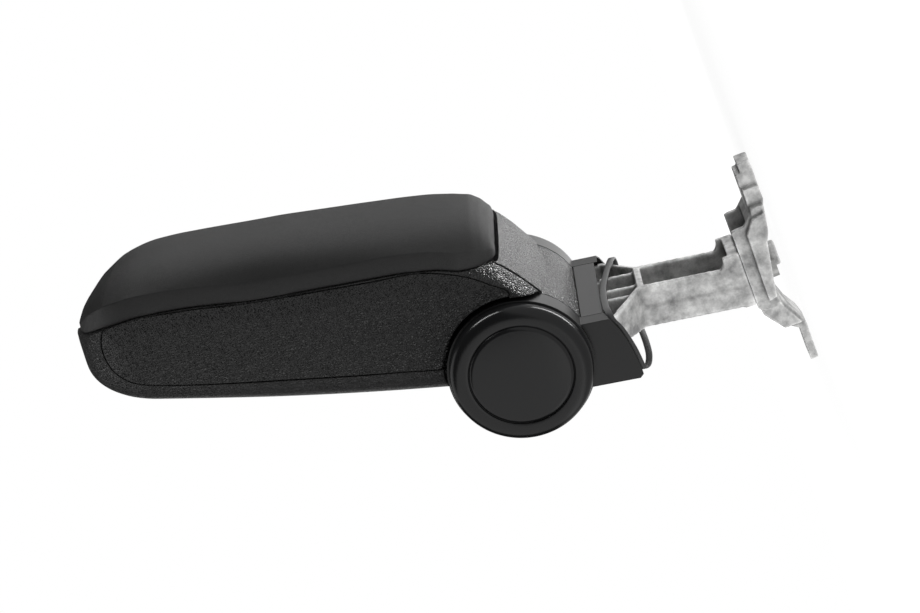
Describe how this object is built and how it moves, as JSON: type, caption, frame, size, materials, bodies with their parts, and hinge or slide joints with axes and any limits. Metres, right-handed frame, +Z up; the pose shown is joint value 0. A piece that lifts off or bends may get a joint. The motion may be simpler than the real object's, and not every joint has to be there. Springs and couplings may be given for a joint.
{
  "type": "car centre armrest",
  "caption": "Folding car centre armrest with a padded storage lid, carried on a hub hinge by a cast post and foot.",
  "frame": {"origin": "centre of the rear fixing hole, on the underside of the foot", "axes": "+Z up along the fixing hole, +X forward to the front fixing tab, +Y to the side with the nearer hub cap in the picture"},
  "size_m": [0.1827, 0.114, 0.3604],
  "materials": {
    "raw_casting": "rough as cast",
    "dark_steel": "dark coated",
    "bright_steel": "zinc plated",
    "satin_black": "smooth satin",
    "cap_black": "satin",
    "dark_grey": "matt",
    "grained_black": "fine leather grain",
    "liner_grey": "matt",
    "base_black": "matt",
    "pad_vinyl": "smooth soft vinyl",
    "button_black": "satin",
    "stop_rubber": "matt",
    "washer_tan": "matt"
  },
  "bodies": {
    "bracket": {"foot_casting": "raw_casting", "post_casting": "raw_casting", "joint_screws": "dark_steel", "shroud_left": "satin_black", "shroud_right": "satin_black", "shroud_tongue": "dark_grey", "shroud_frame": "dark_grey", "hub_cap_left": "cap_black", "hub_cap_right": "cap_black", "hinge_axle": "bright_steel", "axle_nut": "bright_steel", "friction_washers": "washer_tan", "wave_washers": "bright_steel"},
    "arm": {"lower_shell": "grained_black", "hinge_core": "raw_casting", "core_screws": "dark_steel", "side_panel_left": "grained_black", "side_panel_right": "grained_black", "storage_liner": "liner_grey", "bump_stops": "stop_rubber", "lid_hinge_pin": "bright_steel", "latch_spring": "bright_steel"},
    "lid": {"lid_base": "base_black", "lid_pad": "pad_vinyl", "lid_striker": "bright_steel"},
    "button": {"latch_button": "button_black"}
  },
  "joints": [
    {"name": "armrest_tilt", "type": "hinge", "parent": "bracket", "child": "arm", "pos_m": [0.038, 0, 0.1441], "axis": [0, 1, 0], "range_deg": [0, 102]},
    {"name": "lid_open", "type": "hinge", "parent": "arm", "child": "lid", "pos_m": [-0.02284, 0, 0.14134], "axis": [0, -1, 0], "range_deg": [0, 75]},
    {"name": "lid_button", "type": "slide", "parent": "arm", "child": "button", "axis": [0.1599, 0, -0.9871], "range_m": [0, 0.0025], "stiffness_N_per_m": 600, "springref_m": -0.001, "deforming": ["latch_spring"]}
  ]
}
